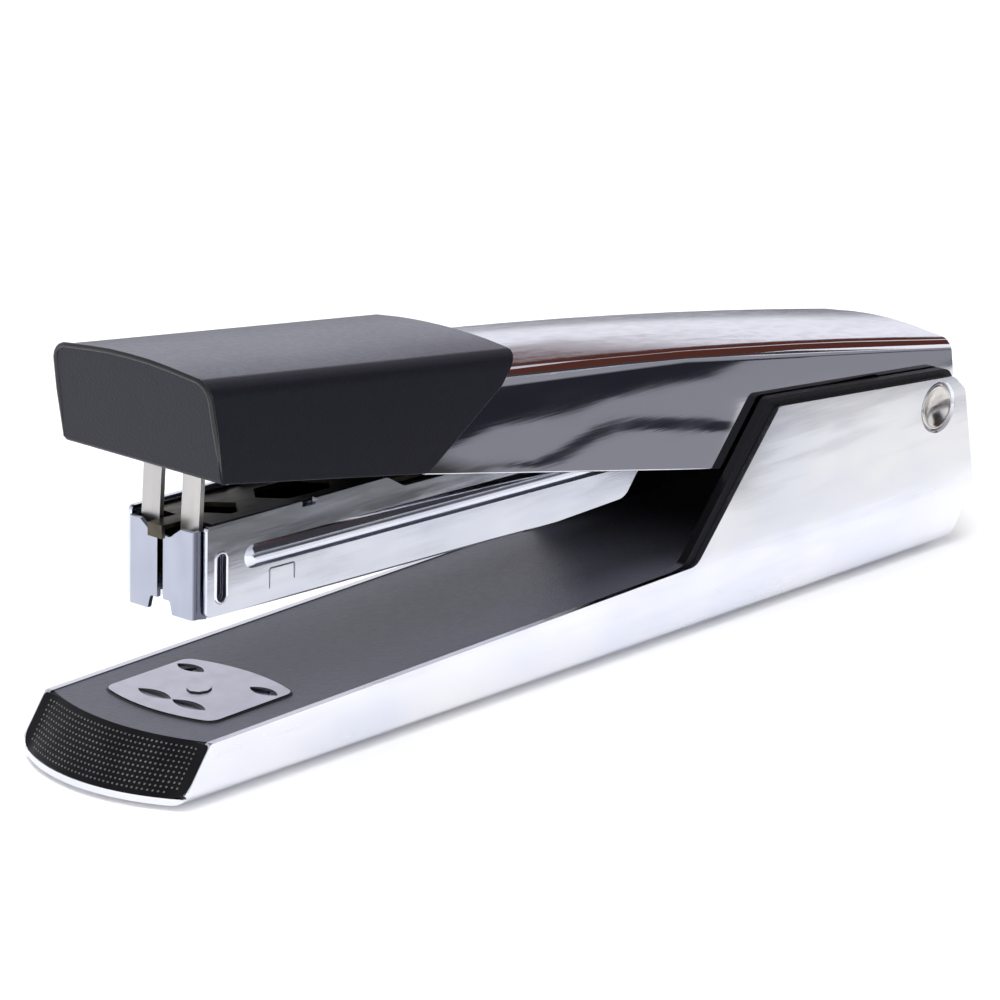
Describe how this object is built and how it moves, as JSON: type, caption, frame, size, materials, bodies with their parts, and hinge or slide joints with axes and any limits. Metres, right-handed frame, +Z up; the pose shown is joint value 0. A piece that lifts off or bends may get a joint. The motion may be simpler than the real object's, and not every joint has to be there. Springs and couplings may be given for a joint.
{
  "type": "stapler",
  "caption": "Desk stapler with a steel channel base, turning anvil, hinged magazine with sprung pusher, lifting cover, arched steel handle, black grip cap and driver blade.",
  "frame": {"origin": "centre of the footprint, on the surface that the stapler's rubber pads stand on", "axes": "+X from the nose, where staples leave, to the hinge; +Z up; +Y across, the width"},
  "size_m": [0.1817, 0.0346, 0.0624],
  "materials": {
    "base_chrome": "bright brushed chrome plate",
    "liner_plastic": "black, fine pebble grain",
    "rubber": "matt black rubber",
    "rivet_steel": "nickel-plated, dished",
    "plated_steel": "zinc-plated",
    "spring_steel": "bright spring wire",
    "blued_steel": "oil-blued spring steel",
    "anvil_nickel": "satin nickel",
    "magazine_chrome": "chrome plate with drawing marks",
    "channel_steel": "bluish plate, dark on its sides",
    "staple_wire": "galvanised wire",
    "pusher_plastic": "black acetal",
    "cover_steel": "dark olive passivated steel",
    "handle_chrome": "satin chrome top, bright sides",
    "frame_steel": "plain rolled steel",
    "carrier_black": "black painted sheet steel",
    "cap_plastic": "black satin plastic, fine leather grain",
    "blade_steel": "ground hardened steel"
  },
  "bodies": {
    "base": {"base_shell": "base_chrome", "base_liner": "liner_plastic", "foot_pads": "rubber", "hinge_pin": "rivet_steel", "hinge_spacers": "carrier_black", "hinge_washers": "plated_steel", "magazine_spring": "blued_steel", "anvil_spring": "spring_steel"},
    "anvil_lifter": {"anvil_button": "plated_steel"},
    "anvil": {"anvil_post": "anvil_nickel", "anvil_plate": "anvil_nickel"},
    "magazine": {"magazine_case": "magazine_chrome", "magazine_carrier": "carrier_black", "magazine_rivets": "plated_steel", "staple_channel": "channel_steel", "staple_rail": "plated_steel", "guide_rod": "plated_steel", "rod_anchor": "plated_steel", "staple_strip": "staple_wire", "pusher_spring": "spring_steel"},
    "pusher": {"pusher": "pusher_plastic"},
    "cover": {"cover_plate": "cover_steel", "spring_rivets": "plated_steel", "handle_spring": "blued_steel"},
    "handle": {"handle_shell": "handle_chrome", "handle_frame": "frame_steel", "grip_cap": "cap_plastic", "driver_blade": "blade_steel", "driver_rivets": "plated_steel"}
  },
  "joints": [
    {"name": "magazine_hinge", "type": "hinge", "parent": "base", "child": "magazine", "pos_m": [0.08125, 0, 0.0242], "axis": [0, 1, 0], "range_deg": [-4.8, 40], "stiffness_Nm_per_rad": 3, "springref_deg": 4.01, "deforming": ["magazine_spring"]},
    {"name": "cover_hinge", "type": "hinge", "parent": "magazine", "child": "cover", "pos_m": [0.08125, 0, 0.0242], "axis": [0, 1, 0], "range_deg": [0, 35]},
    {"name": "handle_hinge", "type": "hinge", "parent": "cover", "child": "handle", "pos_m": [0.08125, 0, 0.0242], "axis": [0, 1, 0], "range_deg": [-3.1, 0], "stiffness_Nm_per_rad": 3, "springref_deg": 6.88, "deforming": ["handle_spring"]},
    {"name": "pusher_slide", "type": "slide", "parent": "magazine", "child": "pusher", "axis": [0.9995, 0, -0.0312], "range_m": [0, 0.023], "stiffness_N_per_m": 15, "springref_m": -0.05, "deforming": ["pusher_spring"]},
    {"name": "anvil_lift", "type": "slide", "parent": "base", "child": "anvil_lifter", "axis": [-0.0222, 0, 0.9998], "range_m": [0, 0.002], "stiffness_N_per_m": 300, "springref_m": -0.003, "deforming": ["anvil_spring"]},
    {"name": "anvil_turn", "type": "hinge", "parent": "anvil_lifter", "child": "anvil", "pos_m": [-0.06695, 0, 0.00932], "axis": [-0.0222, 0, 0.9998], "range_deg": [0, 180]}
  ]
}
